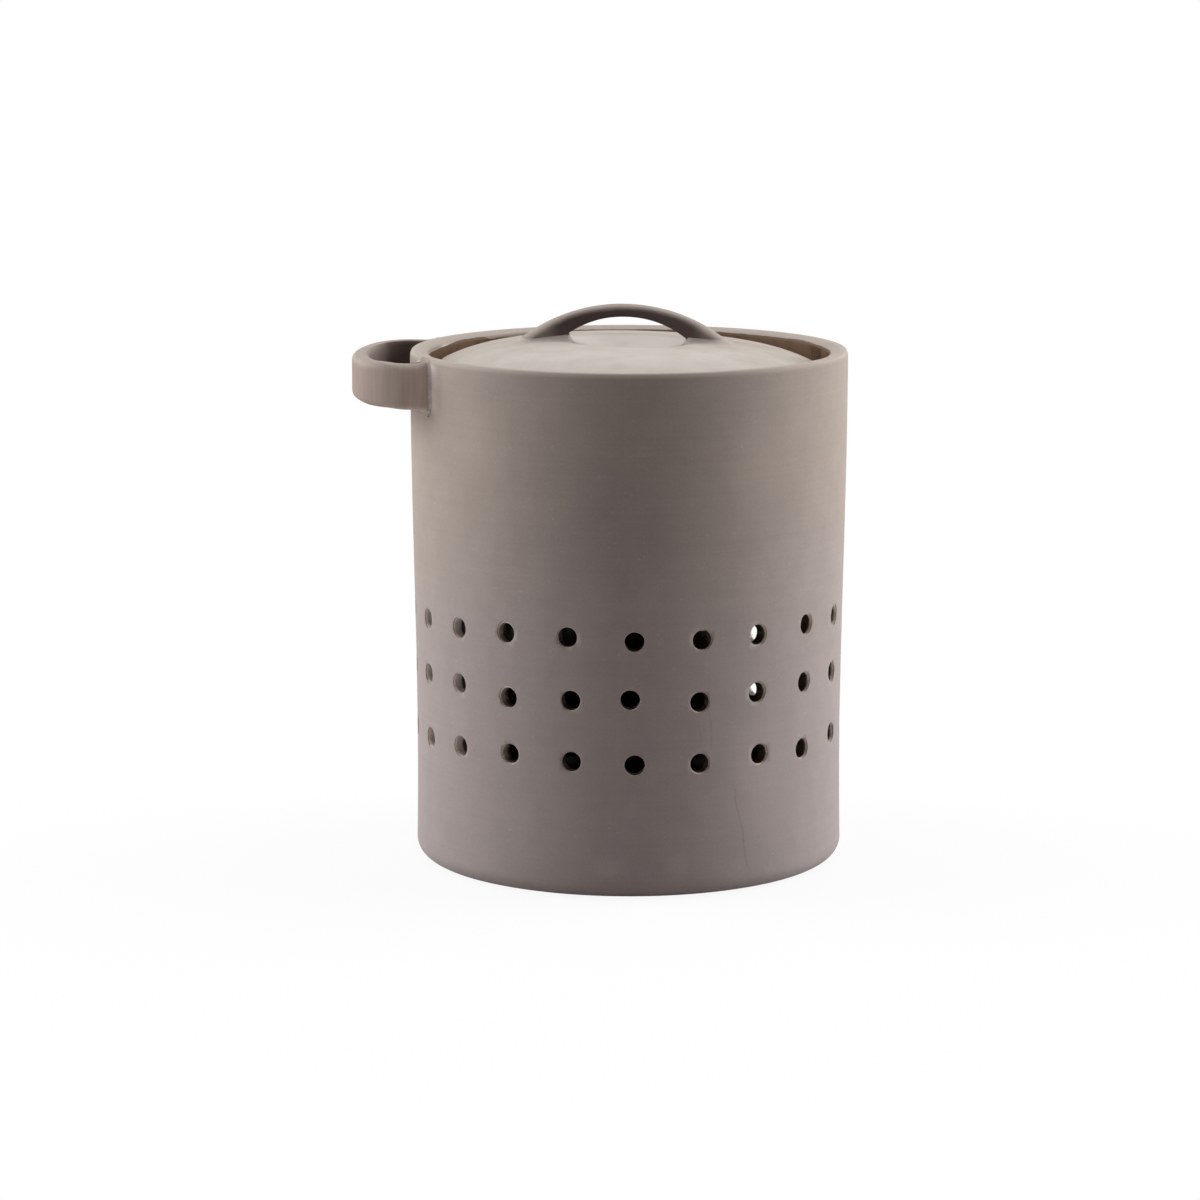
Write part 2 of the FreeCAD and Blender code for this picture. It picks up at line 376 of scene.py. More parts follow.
def clay_relief(g, place):
    """Height in millimetres of the sandy skin and the turning lines."""
    x, y, z = g.split(place)
    lines = g.noise(g.point(0.01 * x, 0.01 * y, z), 0.7, 2.0)
    sand = g.noise(place, 1.9, 3.0, 0.7)
    swell = g.noise(place, 0.09, 1.0)
    return 0.03 * lines + 0.035 * sand + 0.25 * swell


def surface(g, colour, roughness, relief, more=NONE):
    """The shader that ends a finish; relief is in millimetres, more sets other sockets."""
    bumped = g.node("ShaderNodeBump", NONE, {"Distance": MM, "Height": relief})
    sockets = {"Base Color": colour, "Roughness": roughness, "Normal": bumped, **more}
    shader = g.node("ShaderNodeBsdfPrincipled", NONE, sockets)
    g.node("ShaderNodeOutputMaterial", NONE, {"Surface": shader})


BARE_ROUGH = 0.86
print("stoneware ready")

# %% [markdown]
# ## Finish of the pot
# The punch drags wet clay over each vent's edge, and it dries to a pale, smooth lip; the lip
# is also painted paler, as painted light on its edge, which turns into the hole. Inside the
# bores on the right the clay is painted dark as painted shade, on the left it is painted pale
# as painted light, and deep in every bore it is painted dark as painted shade. A stored number,
# depth, says how far a point lies below the skin, so one material can paint lip and bore. Slip
# is smeared beside the loop's roots, whitened further as painted light against the loop's
# shadow, and the glaze ends in an uneven line, wiped off a little below the rim.

# %% Finish of the pot
GLAZE_LINE = 139.6
# Where slip is smeared beside the loop's roots, and the wall is whitened as painted light against the loop's
# shadow.
SLIP_AND_LIGHT_ASIDE = (16, 20, 25.5, 32)
SLIP_AND_LIGHT_UP = (125.5, 128.5, 138.6, 139.8)
# The x range where the bores are painted pale as painted light.
PAINTED_LIGHT_SIDE = (-48, -22)


def below_glaze_line(g, place):
    """1 where the glaze was left on, 0 where it was wiped off below the rim."""
    x, _, z = g.split(place)
    dips = 1.2 * g.fall(x, -54, -46) + 0.8 * g.band(x, -41, -39, -27, -20)
    edge = z + 1.1 * (g.noise(place, 0.07, 4.0, 0.7) - 0.5) + dips
    return g.fall(edge, GLAZE_LINE, GLAZE_LINE + 0.1)


def pot_finish():
    """Bare clay with painted shade and painted light in the bores, pale at the vents' edges and at the loop's
    roots, partly as painted light, and stained by the glaze.
    """
    made, g, place = new_material("pot stoneware")
    x, y, z = g.split(place)
    depth = g.stored("depth")
    # Slip beside the loop's roots, made whiter as painted light where the loop's shadow falls.
    slip_and_painted_light = g.band(g.math("ABSOLUTE", y), *SLIP_AND_LIGHT_ASIDE) * g.band(z, *SLIP_AND_LIGHT_UP) * g.fall(x, -50, -44)
    brushed = g.noise(g.point(x, 0.3 * y, 0.15 * z), 1.1, 3.0, 0.6)
    colour = g.blend(clay_colour(g, place), WHITE_SLIP_AND_PAINTED_LIGHT, slip_and_painted_light * (0.45 + brushed))
    # Pale lip round each vent, made paler as painted light, because its rounded edge turns into the hole and
    # is shaded.
    lip_and_painted_light = g.rise(depth, 0.15, 0.25) - g.rise(depth, 0.5, 1.2)
    colour = g.blend(colour, LIP_SLIP_AND_PAINTED_LIGHT, lip_and_painted_light)
    # Painted shade: the bores are darkened with an uneven edge, in full on the right, and deeper in all
    # round; on the left they are painted pale as painted light.
    shade_edge_noise = g.noise(place, 1.2, 3.0, 0.7) - 0.5
    painted_light_side = g.fall(x, *PAINTED_LIGHT_SIDE)
    bore = g.rise(depth + 1.6 * shade_edge_noise, 0.5, 1.3)
    colour = g.blend(colour, BORE_SHADE, bore * (1 - 0.85 * painted_light_side))
    colour = g.blend(colour, PALE_SLIP_AND_PAINTED_LIGHT, bore * 0.8 * painted_light_side)
    colour = g.blend(colour, BORE_SHADE, g.rise(depth + shade_edge_noise, 2.2, 3.2))
    away = g.length(g.point(x, y, 0.0))
    stained = below_glaze_line(g, place) * g.fall(away, 56.6, 56.9) * g.rise(z, 131, 132)
    colour = g.blend(colour, PALE_CLAY, 0.35 * g.rise(z, 139.2, 140.2))
    colour = g.blend(colour, GLAZE_BROWN, stained)
    roughness = BARE_ROUGH - 0.45 * g.rise(depth, 0.15, 0.35)
    coat = {"Coat Weight": g.rise(depth, 0.15, 0.4) * painted_light_side}
    surface(g, colour, roughness, clay_relief(g, place) * (1 - lip_and_painted_light), coat)
    return made


POT_CLAY = pot_finish()
print(POT_CLAY.name, "->", len(POT_CLAY.node_tree.nodes), "nodes")

# %% [markdown]
# ## Finishes of the lid and its arch
# The lid has a pale bloom, where salts came to the surface as the clay dried; at the front and
# in the dish it is painted paler as painted light. The arch has painted shade: dark on its sides
# and underside, and only a little on its back.
# For that a stored number, inner, goes from 0 on a strap's outer face to 1 on its inner.

# %% Finishes of the lid and its arch
def lid_finish():
    """Bare clay, paler in patches where salts came up, and painted paler at the front and in the dish as
    painted light.
    """
    made, g, place = new_material("lid stoneware")
    x, y, _ = g.split(place)
    patches = g.noise(place, 0.10, 3.0, 0.6)
    away = g.length(g.point(x, y, 0.0))
    # Patches of bloom, plus painted light at the front and in the dish.
    bloom_and_painted_light = 0.3 + 0.9 * (patches - 0.5) + 0.6 * g.fall(y, -36, 5) + 0.66 * g.fall(away, 16, 19)
    colour = g.blend(clay_colour(g, place), LID_BLOOM_AND_PAINTED_LIGHT, bloom_and_painted_light)
    surface(g, colour, BARE_ROUGH, clay_relief(g, place))
    return made


def arch_finish():
    """Clay of the arch with painted shade: a little on its back, much on its sides and below, less at its
    feet.
    """
    made, g, place = new_material("arch stoneware")
    x = g.split(place)[0]
    # Painted shade: darker towards the strap's inner face, that is on its sides and underside, and less at
    # its feet.
    shade_toward_inner = g.stored("inner") + 0.12 * (g.noise(place, 0.25, 3.0) - 0.5)
    shade_strength = (1 - 0.65 * g.fall(x, -24, -18.5)) * (1 - 0.85 * g.rise(x, 17, 23))
    shade = g.blend(ARCH_SHADE, ARCH_SHADE_RIGHT, g.rise(x, -6, 14))
    colour = g.blend(clay_colour(g, place), shade, (0.25 + 0.75 * g.rise(shade_toward_inner, 0.03, 0.24)) * shade_strength)
    surface(g, colour, BARE_ROUGH, clay_relief(g, place))
    return made


LID_CLAY = lid_finish()
ARCH_CLAY = arch_finish()
print("made", LID_CLAY.name, "and", ARCH_CLAY.name)

# %% [markdown]
# ## Finishes of the loop and the slip
# The loop is rosy at its tip, and brush strokes of slip run up its legs; towards its roots the
# legs are painted paler as painted light. Its inner face is painted dark as painted shade. Slip
# dries paler than clay and crusty, and a small dark spot sits in one corner.

# %% Finishes of the loop and the slip
DARK_CORNER_SPOT = (-58.0, -24.6, 139.5)


def dark_corner_spot(g, place):
    """Shares of a small dark spot in the corner between the loop's top and the rim."""
    reach = g.vector("DISTANCE", place, DARK_CORNER_SPOT, out="Value")
    return g.fall(reach, 1.4, 2.6) * g.rise(g.noise(place, 1.6, 2.0), 0.36, 0.44)


def loop_finish():
    """Clay of the loop: rosy at its tip, pale slip and painted light towards its roots, painted shade on its
    inner face.
    """
    made, g, place = new_material("loop stoneware")
    x, y, z = g.split(place)
    rosy = g.fall(x, -73, -62) * g.fall(z, 137.2, 138.8)
    colour = g.blend(clay_colour(g, place), ROSY_CLAY, 0.7 * rosy)
    strokes = g.noise(g.point(x, 0.4 * y, 0.05 * z), 1.3, 3.0, 0.6)
    # Pale slip strokes towards the roots, made paler as painted light where the legs are shaded.
    colour = g.blend(colour, LOOP_SLIP_AND_PAINTED_LIGHT, 0.9 * g.rise(x, -72, -56) * g.fall(z, 138, 139.5))
    colour = g.scaled(colour, 1 + 0.5 * (strokes - 0.5) * g.rise(x, -75, -66))
    # Painted shade on the loop's inner face.
    painted_inner_shade = g.rise(g.stored("inner"), 0.76, 0.93) * (0.2 + 0.75 * g.rise(x, -72.5, -66))
    colour = g.blend(colour, LOOP_SHADE, painted_inner_shade)
    colour = g.blend(colour, LOOP_SHADE, dark_corner_spot(g, place))
    surface(g, colour, 0.88, clay_relief(g, place) + 0.05 * strokes)
    return made


def slip_finish():
    """Dried slip: paler than the clay and crusty."""
    made, g, place = new_material("luting slip")
    crust = g.noise(place, 1.4, 3.0, 0.7)
    left_on = g.band(g.split(place)[2], 125, 129, 137.5, 139.2)
    white = g.blend(PALE_SLIP_AND_PAINTED_LIGHT, WHITE_SLIP_AND_PAINTED_LIGHT, g.rise(crust, 0.35, 0.6))
    colour = g.blend(clay_colour(g, place), white, left_on)
    colour = g.blend(colour, LOOP_SHADE, dark_corner_spot(g, place))
    surface(g, colour, 0.9 - 0.05 * crust, clay_relief(g, place) + 0.12 * crust)
    return made


LOOP_CLAY = loop_finish()
ROOT_SLIP = slip_finish()
print("made", LOOP_CLAY.name, "and", ROOT_SLIP.name)

# %% [markdown]
# ## Glaze
# A brown glaze seals the inside. Below the ledge it is glossy, which a clear coat over a
# dull base gives. Above the ledge the lid has rubbed it dull, so there the coat is left
# out and the base has no gloss of its own.

# %% Glaze
def glaze_finish():
    """Brown glaze, deeper where it has pooled; glossy inside, rubbed dull above the ledge."""
    made, g, place = new_material("inside glaze")
    pool = g.noise(place, 0.12, 3.0, 0.6)
    colour = g.blend(GLAZE_BROWN, GLAZE_DEEP, g.rise(pool, 0.45, 0.8))
    fleck = g.rise(g.noise(place, 1.3, 1.0), 0.66, 0.74)
    colour = g.blend(colour, GLAZE_DEEP, 0.4 * fleck)
    colour = g.blend(clay_colour(g, place), colour, below_glaze_line(g, place))
    coat = {
        "Specular IOR Level": 0.0,
        "Coat Roughness": 0.12,
        "Coat Weight": g.fall(g.split(place)[2], 129, 132),
    }
    surface(g, colour, 0.7 + 0.1 * pool, 0.03 * g.noise(place, 0.35, 1.0), coat)
    return made


GLAZE = glaze_finish()
print("finishes:", len(bpy.data.materials))

# %% [markdown]
# ## The wheel
# The pot, the lid and the glaze on both are turned shapes: one outline swept round the
# axis. A Geometry Nodes tool does it. Its input is the outline as a row of points. A grid
# with one column for each angle takes its places from that row, turned by its column's
# angle, so a grid becomes a closed skin. Clay is never true, so the tool can also let the
# skin wander inwards a little, lean the upper part, and let an edge rise and fall.

# %% Tools made of nodes
SOCKET = "NodeSocket"


def new_tool(name, inputs):
    """A Geometry Nodes tree with these named inputs; gives its graph and their wires."""
    tree = bpy.data.node_groups.new(name, "GeometryNodeTree")
    tree.interface.new_socket("Geometry", in_out="INPUT", socket_type=SOCKET + "Geometry")
    for label, kind in inputs.items():
        tree.interface.new_socket(label, in_out="INPUT", socket_type=SOCKET + kind)
    tree.interface.new_socket("Geometry", in_out="OUTPUT", socket_type=SOCKET + "Geometry")
    graph = Graph(tree)
    given = tree.nodes.new("NodeGroupInput")
    return graph, {s.name: Wire(graph, s) for s in given.outputs if s.name}


def end_tool(g, geometry, material):
    """Makes instances real, sets the material, and ends the tree."""
    real = g.node("GeometryNodeRealizeInstances", NONE, {"Geometry": geometry})
    smooth = g.node("GeometryNodeSetShadeSmooth", NONE, {"Geometry": real})
    finished = g.node("GeometryNodeSetMaterial", NONE, {"Geometry": smooth, "Material": material})
    g.node("NodeGroupOutput", NONE, {"Geometry": finished})


def use_tool(piece, tree, values):
    """Runs a tool on a piece and keeps the result as its plain mesh."""
    modifier = piece.modifiers.new(tree.name, "NODES")
    modifier.node_group = tree
    for item in tree.interface.items_tree:
        if item.in_out == "INPUT" and item.name in values:
            modifier[item.identifier] = values[item.name]
    evaluated = piece.evaluated_get(bpy.context.evaluated_depsgraph_get())
    result = bpy.data.meshes.new_from_object(evaluated)
    piece.modifiers.remove(modifier)
    piece.data = result
    print(piece.name, "->", len(result.polygons), "faces")


def new_piece(name, points, faces=()):
    """An object at the origin whose mesh is given in millimetres."""
    mesh = bpy.data.meshes.new(name)
    mesh.from_pydata([Vector(p) * MM for p in points], [], list(faces))
    piece = bpy.data.objects.new(name, mesh)
    bpy.context.scene.collection.objects.link(piece)
    return piece


print("tools can be made, used and kept as meshes")

# %% The wheel's tree
def wheel_tool():
    lengths = ("Wander", "Lean", "Lean From", "Lean To", "Edge Wander", "Edge From", "Edge To")
    inputs = {"Around": "Int", **dict.fromkeys(lengths, "Float"), "Material": "Material"}
    g, given = new_tool("turn on the wheel", inputs)
    outline = given["Geometry"]
    along = g.node("GeometryNodeAttributeDomainSize", NONE, {"Geometry": outline}, "Point Count")
    grid_size = {"Vertices X": given["Around"] + 1, "Vertices Y": along}
    grid = g.node("GeometryNodeMeshGrid", NONE, grid_size, "Mesh")
    index = g.node("GeometryNodeInputIndex")
    step = g.math("FLOOR", (index + 0.5) / along)
    place = g.node("GeometryNodeInputPosition")
    picked = g.node("GeometryNodeSampleIndex", {"data_type": "FLOAT_VECTOR"}, {
        "Geometry": outline, "Value": place, "Index": index - step * along,
    })
    radius, _, height = g.split(picked)
    angle = step * (2 * math.pi) / given["Around"]
    cosine = g.math("COSINE", angle)
    sine = g.math("SINE", angle)
    hollow = g.noise(g.point(cosine * radius, sine * radius, height * 1.5), 45.0, 1.0)
    true_radius = radius - given["Wander"] * hollow * g.rise(radius, 0.0, 0.02)
    ripple = g.noise(g.point(cosine, sine, 3.0), 1.6, 3.0) - 0.5
    lifted = height + given["Edge Wander"] * ripple * g.rise(height, given["Edge From"], given["Edge To"])
    x = true_radius * cosine
    tipped = lifted - x * given["Lean"] * g.rise(height, given["Lean From"], given["Lean To"])
    turned = g.point(x, true_radius * sine, tipped)
    skin = g.node("GeometryNodeSetPosition", NONE, {"Geometry": grid, "Position": turned})
    closed = g.node("GeometryNodeMergeByDistance", NONE, {"Geometry": skin, "Distance": 1e-6})
    end_tool(g, closed, given["Material"])
    return g.tree


WHEEL = wheel_tool()
AROUND = 288
print(WHEEL.name, "->", len(WHEEL.nodes), "nodes")


def turn(name, outline, material, **settings):
    """A turned piece from an outline of (across, height) points in millimetres."""
    piece = new_piece(name, [(x, 0, z) for x, z in outline])
    values = {"Around": AROUND, "Material": material}
    values.update(settings)
    use_tool(piece, WHEEL, values)
    return piece


# %% Outlines with rounded corners
def rounded(corners, step=12):
    """Points of an open outline; each corner is (across, height, rounding)."""
    points = []
    for i, (x, z, rounding) in enumerate(corners):
        here = Vector((x, z))
        if rounding == 0:
            points.append(here)
            continue
        back = (Vector(corners[i - 1][:2]) - here).normalized()
        on = (Vector(corners[(i + 1) % len(corners)][:2]) - here).normalized()
        half = back.angle(on) / 2
        hub = here + (back + on).normalized() * (rounding / math.sin(half))
        start = here + back * (rounding / math.tan(half)) - hub
        stop = here + on * (rounding / math.tan(half)) - hub
        sweep = math.pi - 2 * half
        parts = max(2, round(math.degrees(sweep) / step))
        for k in range(parts + 1):
            share = k / parts
            turned = start * math.sin((1 - share) * sweep) + stop * math.sin(share * sweep)
            points.append(hub + turned / math.sin(sweep))
    return points


print("points of one round corner:", len(rounded([(0, 0, 0), (9, 0, 3), (9, 9, 0)])) - 2)

# %% [markdown]
# ## The pot's outline
# The wall is nearly straight. It is drawn in a little above the foot, and swells again
# towards the rim. Inside there is a ledge for the lid, and the corner at the floor is
# round, as a thrower's finger leaves it.

# %% Outline of the pot
RIM_Z = 140.6
RIM_R = 60.0
RIM_EASE = 1.3
RIM_SLANT = 0.5
RIM_ROUND = 0.8
RIM_CROWN_R = 57.4
RIM_FALL = 0.9
FOOT_R = 59.1
FLOOR = 7.0
CAVITY_R = 55.3
BORE_R = 55.1
LEDGE_R = 47.9
LEDGE_Z = 132.1
LEDGE_LIP = 3.4
COAT = 0.4
WALL = (
    (10, 58.87), (20, 58.72), (30, 58.67), (40, 58.69), (50, 58.78), (60, 58.92), (70, 59.09),
    (80, 59.29), (90, 59.48), (100, 59.67), (110, 59.83), (120, 59.93), (130, 59.98),
)


def wall_radius(z):
    """Outside radius of the pot at a height, between its foot and its rim."""
    low = (0, FOOT_R)
    for high in WALL + ((RIM_Z - RIM_EASE, RIM_R), (RIM_Z, RIM_R - RIM_SLANT)):
        if z <= high[0]:
            share = (z - low[0]) / (high[0] - low[0])
            return low[1] + share * (high[1] - low[1])
        low = high
    return RIM_R


WALL_ROWS = [*range(8, 32, 4), *range(32, 76, 2), *range(80, 138, 4)]
pot_outside = [(0, 0, 0), (30, 0, 0), (FOOT_R, 0, 4.5)]
pot_outside += [(wall_radius(z), z, 0) for z in WALL_ROWS]
pot_outside += [(RIM_R, RIM_Z - RIM_EASE, 1.5), (RIM_R - RIM_SLANT, RIM_Z, RIM_ROUND)]
pot_outside += [(RIM_CROWN_R, RIM_Z, 1.5), (BORE_R, RIM_Z - RIM_FALL, 0.6)]
pot_inside = [
    (BORE_R, LEDGE_Z, 0.8),
    (LEDGE_R, LEDGE_Z, 1.0),
    (LEDGE_R, LEDGE_Z - LEDGE_LIP, 1.0),
    (CAVITY_R, LEDGE_Z - LEDGE_LIP - (CAVITY_R - LEDGE_R), 3.0),
    (CAVITY_R, 90, 0),
    (CAVITY_R, 60, 0),
    (CAVITY_R, 30, 0),
    (CAVITY_R, FLOOR, 9.0),
    (25, FLOOR, 0),
    (0, FLOOR, 0),
]
print("pot outline:", len(rounded(pot_outside + pot_inside)), "points")

# %% Pot and its lining
pot = turn("pot_clay", rounded(pot_outside + pot_inside), POT_CLAY, Wander=0.12 * MM)


def coated(corners, thickness):
    """The inside corners moved inwards by the thickness of the coat."""
    moved = []
    for x, z, rounding in corners:
        inner = max(0, x - thickness) if x > 0 else 0
        moved.append((inner, z + thickness if z in (FLOOR, LEDGE_Z) else z, rounding))
    return moved


COAT_TOP = 138.9
coat_back = [(BORE_R, COAT_TOP, 0)] + pot_inside
coat_front = [(BORE_R - 0.05, COAT_TOP, 0), (BORE_R - COAT, COAT_TOP - 0.6, 0)] + coated(pot_inside, COAT)
lining_outline = rounded(list(reversed(coat_back))) + rounded(coat_front)
lining = turn(
    "pot_lining", lining_outline, GLAZE,
    **{"Edge Wander": 0.9 * MM, "Edge From": 136 * MM, "Edge To": 139 * MM},
)

# %% [markdown]
# ## The vents
# Each vent is pushed through the leather-hard wall with a tube, by hand, row by row, so no
# two sit quite level and their edges are soft. The marks are a row of points round the
# pot. A Geometry Nodes tool drops each one straight in onto the wall, stands a punch there
# with a slight random tilt, and cuts with all of them at once. The punch flares where it
# meets the skin, which rounds the edge of the hole.

# %% Marks for the vents
VENTS_PER_ROW = 21
VENT_R = 2.7
# Each row: its height, then for each vent the degrees ahead of its even place, and its lift.
VENT_ROWS = (
    (69.8, (1.1, 1.7, 0.9, 2.1, 2.2, 2.6, 2.1, 3.0, 2.6, 2.2, 2.7,
            1.6, 1.9, 0.9, 1.4, 0.6, 0.2, 0.9, 0.7, 0.3, 0.8),
     (-.2, -.2, -.2, .3, -.1, .4, -.3, .2, .5, -.2, .1, -.4, .3, .6, -.1, .2, -.3, -.5, -.4, .5, .7)),
    (53.7, (0.0, 1.2, 0.9, 1.6, 1.3, 2.2, 2.9, 3.4, 2.4, 2.4, 2.6,
            2.9, 1.4, 1.8, 0.6, 1.0, 0.3, 0.5, 0.4, 0.8, 1.6),
     (.3, -.8, .3, .6, .5, .1, -.4, .3, -.5, 1.5, .4, .2, -.3, .5, -.2, .3, -.1, .3, .5, -.9, -.2)),
    (36.8, (1.2, 1.3, 1.9, 1.1, 1.6, 2.0, 3.2, 3.5, 2.5, 2.6, 2.8,
            2.3, 2.4, 1.2, 1.6, 0.8, 1.1, 1.4, 0.6, 1.3, 1.7),
     (-.4, -.5, .3, -.6, .4, -.2, .3, .5, 1.0, .3, -.5, .2, .4, -.1, .6, .0, -.4, -.4, .2, .8, .2)),
)
MARK_R = 70.0


def vent_marks():
    """Points outside the wall, one for each vent: (height, degrees ahead, raised) by row."""
    marks = []
    for height, ahead, raised in VENT_ROWS:
        for k in range(VENTS_PER_ROW):
            around = math.radians(360 * k / VENTS_PER_ROW + ahead[k])
            marks.append((MARK_R * math.sin(around), -MARK_R * math.cos(around), height + raised[k]))
    return marks


print("vents:", len(vent_marks()))

# %% The punch
PUNCH_SOFT = 0.36
PUNCH_IN = -9.0
PUNCH_OUT = 3.0
PUNCH_AROUND = 28


def punch_flare():
    """The flare's outline, from the tube's side to its full width at the skin."""
    points = []
    for angle in map(math.radians, range(90, -1, -15)):
        points.append((VENT_R + PUNCH_SOFT * (1 - math.sin(angle)), -PUNCH_SOFT * (1 - math.cos(angle))))
    return points


punch_outline = [(0, PUNCH_IN), (VENT_R, PUNCH_IN), (VENT_R, -4.0)] + punch_flare()
punch_outline += [(VENT_R + PUNCH_SOFT, PUNCH_OUT), (0, PUNCH_OUT)]
punch = turn("punch", punch_outline, POT_CLAY, Around=PUNCH_AROUND)

# %% The tool that punches
def punch_tool():
    g, given = new_tool("punch vents", {
        "Marks": "Object",
        "Punch": "Object",
        "Tilt": "Float",
        "Uneven": "Float",
        "Seed": "Int",
        "Material": "Material",
    })
    marks = g.node("GeometryNodeObjectInfo", NONE, {"Object": given["Marks"]}, "Geometry")
    tube = g.node("GeometryNodeObjectInfo", NONE, {"Object": given["Punch"]}, "Geometry")
    here = g.node("GeometryNodeInputPosition")
    x, y, _ = g.split(here)
    inward = g.scaled(g.point(x, y, 0.0), -1.0)
    ray = {"Target Geometry": given["Geometry"], "Ray Direction": inward}
    hit = g.node("GeometryNodeRaycast", NONE, ray, "Hit Position")
    placed = g.node("GeometryNodeSetPosition", NONE, {"Geometry": marks, "Position": hit})
    lean = g.node("FunctionNodeRandomValue", {"data_type": "FLOAT_VECTOR"}, {
        "Min": (-1.0, -1.0, -1.0), "Max": (1.0, 1.0, 1.0), "Seed": given["Seed"],
    })
    out = g.vector("NORMALIZE", g.point(x, y, 0.0))
    aim = g.vector("ADD", out, g.scaled(lean, given["Tilt"]))
    turned = g.node("FunctionNodeAlignRotationToVector", {"axis": "Z"}, {"Vector": aim})
    size = g.node("FunctionNodeRandomValue", {"data_type": "FLOAT"}, {
        2: 1 - given["Uneven"], 3: 1 + given["Uneven"], "Seed": given["Seed"] + 1,
    }, 1)
    punches = g.node("GeometryNodeInstanceOnPoints", NONE, {
        "Points": placed, "Instance": tube, "Rotation": turned, "Scale": g.point(size, size, 1.0),
    })
    real = g.node("GeometryNodeRealizeInstances", NONE, {"Geometry": punches})
    cut = g.node("GeometryNodeMeshBoolean", {"operation": "DIFFERENCE", "solver": "MANIFOLD"}, {
        "Mesh 1": given["Geometry"], "Mesh 2": real,
    })
    end_tool(g, cut, given["Material"])
    return g.tree


PUNCHER = punch_tool()
print(PUNCHER.name, "->", len(PUNCHER.nodes), "nodes")

# %% Punch the pot and its lining
marks = new_piece("marks", vent_marks())
for piece, material in ((pot, POT_CLAY), (lining, GLAZE)):
    use_tool(piece, PUNCHER, {
        "Marks": marks, "Punch": punch, "Tilt": 0.03, "Uneven": 0.02, "Seed": 7, "Material": material,
    })
for helper in (marks, punch):
    bpy.data.objects.remove(helper)

# How deep a point lies below the skin, told only at the heights that have vents.
VENTS_FROM = 20
VENTS_TO = 90
depth = pot.data.attributes.new("depth", "FLOAT", "POINT")
for i, vertex in enumerate(pot.data.vertices):
    x, y, z = vertex.co / MM
    depth.data[i].value = wall_radius(z) - math.hypot(x, y) if VENTS_FROM < z < VENTS_TO else 0

# %% [markdown]
# ## The lid
# The lid is a shallow dome that rests on the ledge. A round dish is pressed into its
# middle to make room for fingers under the strap. It lies loose, so it is a little off
# level and a hair to one side.

# %% Outline of the lid
SEAT_Z = 132.5
LID_R = 52.0
CROWN_Z = 142.8
CROWN_FALL = 6.4
CROWN_POWER = 4.1
EDGE_ROUND = 0.5
LID_THICK = 4.5
WELL_R = 46.5
DISH_R = 18.2
DISH_DEPTH = 4.5
DISH_BALL = (DISH_R ** 2 + DISH_DEPTH ** 2) / (2 * DISH_DEPTH)
LEAN = math.tan(math.radians(0.8))
ASIDE = 0.3


def crown(radius):
    """Height of the lid's top at a radius, before it leans."""
    return CROWN_Z - CROWN_FALL * (radius / LID_R) ** CROWN_POWER


def dish(radius):
    """Height of the dish's floor at a radius."""
    return CROWN_Z - DISH_DEPTH + DISH_BALL - math.sqrt(DISH_BALL ** 2 - radius ** 2)


lid_top = [(LID_R, crown(LID_R), EDGE_ROUND)]
lid_top += [(r, crown(r), 0) for r in (50, 48, 46, 44, 42, 40, 37, 34, 31, 28, 25, 22)]
lid_top += [(DISH_R, crown(DISH_R), 1.0)]
lid_top += [(r, dish(r), 0) for r in (16, 13, 10, 7, 4, 0)]
lid_under = [
    (0, CROWN_Z - DISH_DEPTH - LID_THICK, 0),
    (12, CROWN_Z - DISH_DEPTH - LID_THICK + 1.5, 0),
    (20, CROWN_Z - LID_THICK, 2.0),
    (WELL_R, CROWN_Z - LID_THICK - 4.6, 1.5),
    (WELL_R, SEAT_Z, 0.5),
    (LID_R, SEAT_Z, 0.6),
]
LEANING = {"Lean": LEAN, "Lean From": (SEAT_Z + 0.5) * MM, "Lean To": (SEAT_Z + 3) * MM}
lid = turn("lid_clay", rounded(lid_under + lid_top), LID_CLAY, Wander=0.10 * MM, **LEANING)

under_coat = [(x - COAT if x == WELL_R else x, z - COAT, r) for x, z, r in lid_under[:4]]
under_coat_outline = under_coat + [(WELL_R - COAT, SEAT_Z + 0.1, 0), (WELL_R, SEAT_Z + 0.1, 0)]
under_coat_outline += list(reversed(lid_under[:4]))
lid_lining = turn("lid_lining", rounded(under_coat_outline), GLAZE)
for piece in (lid, lid_lining):
    piece.data.transform(Matrix.Translation((ASIDE * MM, 0, 0)))

# %% [markdown]
# ## Straps
# The loop and the arch are flat straps of clay. Each is a row of sections, every one a
# rounded rectangle set square to its line, joined into a closed skin. The ends run on into
# the wall, as the potter presses them in.

# %% Sections and skins
def strap_section(inner, outer, low, high, soft_in, soft_out):
    """Rounded rectangle as (across, up) points; across runs from the inner to the outer face."""
    corners = [(inner, low, soft_in), (outer, low, soft_out), (outer, high, soft_out), (inner, high, soft_in)]
    return rounded(corners, 15)


def inner_shares(section):
    """For each (across, up) point of a section, 1 on the inner face and 0 on the outer."""
    across = [point[0] for point in section]
    return [(max(across) - a) / (max(across) - min(across)) for a in across]


